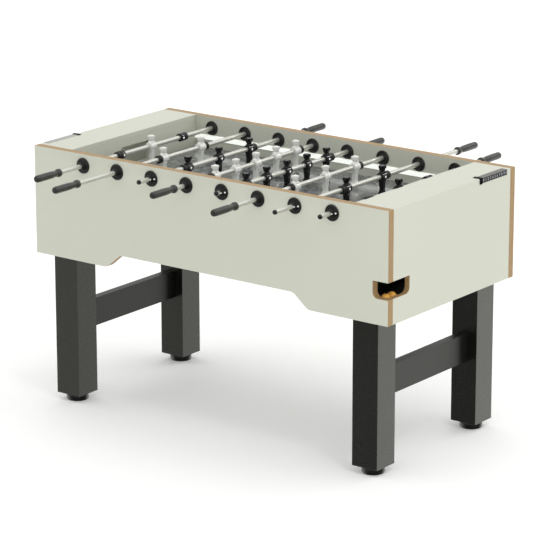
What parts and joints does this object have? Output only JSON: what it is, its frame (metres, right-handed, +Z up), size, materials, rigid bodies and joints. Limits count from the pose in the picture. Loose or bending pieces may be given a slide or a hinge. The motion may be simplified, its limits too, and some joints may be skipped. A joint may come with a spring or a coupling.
{
  "type": "foosball table",
  "caption": "Foosball table: a laminated box on four square legs, with chromed rods that slide and spin, moulded players, goals, ball pick-ups, sliding score counters and levelling feet.",
  "frame": {"origin": "centre of the table on the floor", "axes": "+X to the right-hand end seen from the front long side, +Y to the back long side, +Z up"},
  "size_m": [1.4986, 1.3835, 0.9198],
  "materials": {
    "pale_laminate": "satin pale laminate on board, brown cut edges",
    "dark_laminate": "satin dark grey laminate on board",
    "playfield_laminate": "grey mottled laminate with pale field lines",
    "white_strip": "glossy white strip",
    "tray_plastic": "matt moulded trough",
    "bolt_steel": "zinc-plated",
    "black_plastic": "fine-grained moulding",
    "black_rubber": "matt",
    "chrome_tube": "polished chrome plate",
    "white_players": "glossy moulding",
    "black_players": "glossy moulding",
    "charcoal_grip": "satin moulding",
    "ball_plastic": "satin engraved ball"
  },
  "bodies": {
    "root": {"side_panel_front": "pale_laminate", "side_panel_back": "pale_laminate", "end_panel_left": "pale_laminate", "end_panel_right": "pale_laminate", "end_cover_left": "pale_laminate", "end_cover_right": "pale_laminate", "goal_wall_left": "pale_laminate", "goal_wall_right": "pale_laminate", "playfield": "playfield_laminate", "side_wall_trims": "white_strip", "ball_trays": "tray_plastic", "leg_front_left": "dark_laminate", "leg_front_right": "dark_laminate", "leg_back_left": "dark_laminate", "leg_back_right": "dark_laminate", "stretcher_left": "dark_laminate", "stretcher_right": "dark_laminate", "frame_fasteners": "bolt_steel", "rod_bearings": "black_plastic", "score_rails": "black_plastic"},
    "score_marker_left": {"score_marker_left": "black_plastic"},
    "score_marker_right": {"score_marker_right": "black_plastic"},
    "foot_front_left": {"foot_front_left": "black_plastic"},
    "foot_front_right": {"foot_front_right": "black_plastic"},
    "foot_back_left": {"foot_back_left": "black_plastic"},
    "foot_back_right": {"foot_back_right": "black_plastic"},
    "ball_1": {"ball_1": "ball_plastic"},
    "ball_2": {"ball_2": "ball_plastic"},
    "rod_1_slider": {"rod_1_stops": "black_rubber"},
    "rod_1": {"rod_1_tube": "chrome_tube", "rod_1_players": "white_players", "rod_1_handle": "charcoal_grip"},
    "rod_2_slider": {"rod_2_stops": "black_rubber"},
    "rod_2": {"rod_2_tube": "chrome_tube", "rod_2_players": "white_players", "rod_2_handle": "charcoal_grip"},
    "rod_3_slider": {"rod_3_stops": "black_rubber"},
    "rod_3": {"rod_3_tube": "chrome_tube", "rod_3_players": "black_players", "rod_3_handle": "charcoal_grip"},
    "rod_4_slider": {"rod_4_stops": "black_rubber"},
    "rod_4": {"rod_4_tube": "chrome_tube", "rod_4_players": "white_players", "rod_4_handle": "charcoal_grip"},
    "rod_5_slider": {"rod_5_stops": "black_rubber"},
    "rod_5": {"rod_5_tube": "chrome_tube", "rod_5_players": "black_players", "rod_5_handle": "charcoal_grip"},
    "rod_6_slider": {"rod_6_stops": "black_rubber"},
    "rod_6": {"rod_6_tube": "chrome_tube", "rod_6_players": "white_players", "rod_6_handle": "charcoal_grip"},
    "rod_7_slider": {"rod_7_stops": "black_rubber"},
    "rod_7": {"rod_7_tube": "chrome_tube", "rod_7_players": "black_players", "rod_7_handle": "charcoal_grip"},
    "rod_8_slider": {"rod_8_stops": "black_rubber"},
    "rod_8": {"rod_8_tube": "chrome_tube", "rod_8_players": "black_players", "rod_8_handle": "charcoal_grip"}
  },
  "joints": [
    {"name": "score_marker_left_slide", "type": "slide", "parent": "root", "child": "score_marker_left", "axis": [0, -1, 0], "range_m": [0, 0.14]},
    {"name": "score_marker_right_slide", "type": "slide", "parent": "root", "child": "score_marker_right", "axis": [0, 1, 0], "range_m": [0, 0.14]},
    {"name": "foot_front_left_level", "type": "slide", "parent": "root", "child": "foot_front_left", "axis": [0, 0, -1], "range_m": [0, 0.012]},
    {"name": "foot_front_right_level", "type": "slide", "parent": "root", "child": "foot_front_right", "axis": [0, 0, -1], "range_m": [0, 0.012]},
    {"name": "foot_back_left_level", "type": "slide", "parent": "root", "child": "foot_back_left", "axis": [0, 0, -1], "range_m": [0, 0.012]},
    {"name": "foot_back_right_level", "type": "slide", "parent": "root", "child": "foot_back_right", "axis": [0, 0, -1], "range_m": [0, 0.012]},
    {"name": "ball_1_lift", "type": "slide", "parent": "root", "child": "ball_1", "axis": [0, 0, 1], "range_m": [0, 0.04]},
    {"name": "ball_2_lift", "type": "slide", "parent": "root", "child": "ball_2", "axis": [0, 0, 1], "range_m": [0, 0.04]},
    {"name": "rod_1_slide", "type": "slide", "parent": "root", "child": "rod_1_slider", "axis": [0, 1, 0], "range_m": [-0.09, 0.103]},
    {"name": "rod_1_spin", "type": "hinge", "parent": "rod_1_slider", "child": "rod_1", "pos_m": [-0.525, 0, 0.8765], "axis": [0, 1, 0], "continuous": true},
    {"name": "rod_2_slide", "type": "slide", "parent": "root", "child": "rod_2_slider", "axis": [0, 1, 0], "range_m": [-0.132, 0.182]},
    {"name": "rod_2_spin", "type": "hinge", "parent": "rod_2_slider", "child": "rod_2", "pos_m": [-0.375, 0, 0.8765], "axis": [0, 1, 0], "continuous": true},
    {"name": "rod_3_slide", "type": "slide", "parent": "root", "child": "rod_3_slider", "axis": [0, -1, 0], "range_m": [-0.087, 0.102]},
    {"name": "rod_3_spin", "type": "hinge", "parent": "rod_3_slider", "child": "rod_3", "pos_m": [-0.225, 0, 0.8765], "axis": [0, 1, 0], "continuous": true},
    {"name": "rod_4_slide", "type": "slide", "parent": "root", "child": "rod_4_slider", "axis": [0, 1, 0], "range_m": [-0.052, 0.041]},
    {"name": "rod_4_spin", "type": "hinge", "parent": "rod_4_slider", "child": "rod_4", "pos_m": [-0.075, 0, 0.8765], "axis": [0, 1, 0], "continuous": true},
    {"name": "rod_5_slide", "type": "slide", "parent": "root", "child": "rod_5_slider", "axis": [0, -1, 0], "range_m": [-0.048, 0.044]},
    {"name": "rod_5_spin", "type": "hinge", "parent": "rod_5_slider", "child": "rod_5", "pos_m": [0.075, 0, 0.8765], "axis": [0, 1, 0], "continuous": true},
    {"name": "rod_6_slide", "type": "slide", "parent": "root", "child": "rod_6_slider", "axis": [0, 1, 0], "range_m": [-0.091, 0.098]},
    {"name": "rod_6_spin", "type": "hinge", "parent": "rod_6_slider", "child": "rod_6", "pos_m": [0.225, 0, 0.8765], "axis": [0, 1, 0], "continuous": true},
    {"name": "rod_7_slide", "type": "slide", "parent": "root", "child": "rod_7_slider", "axis": [0, -1, 0], "range_m": [-0.128, 0.185]},
    {"name": "rod_7_spin", "type": "hinge", "parent": "rod_7_slider", "child": "rod_7", "pos_m": [0.375, 0, 0.8765], "axis": [0, 1, 0], "continuous": true},
    {"name": "rod_8_slide", "type": "slide", "parent": "root", "child": "rod_8_slider", "axis": [0, -1, 0], "range_m": [-0.088, 0.105]},
    {"name": "rod_8_spin", "type": "hinge", "parent": "rod_8_slider", "child": "rod_8", "pos_m": [0.525, 0, 0.8765], "axis": [0, 1, 0], "continuous": true}
  ]
}
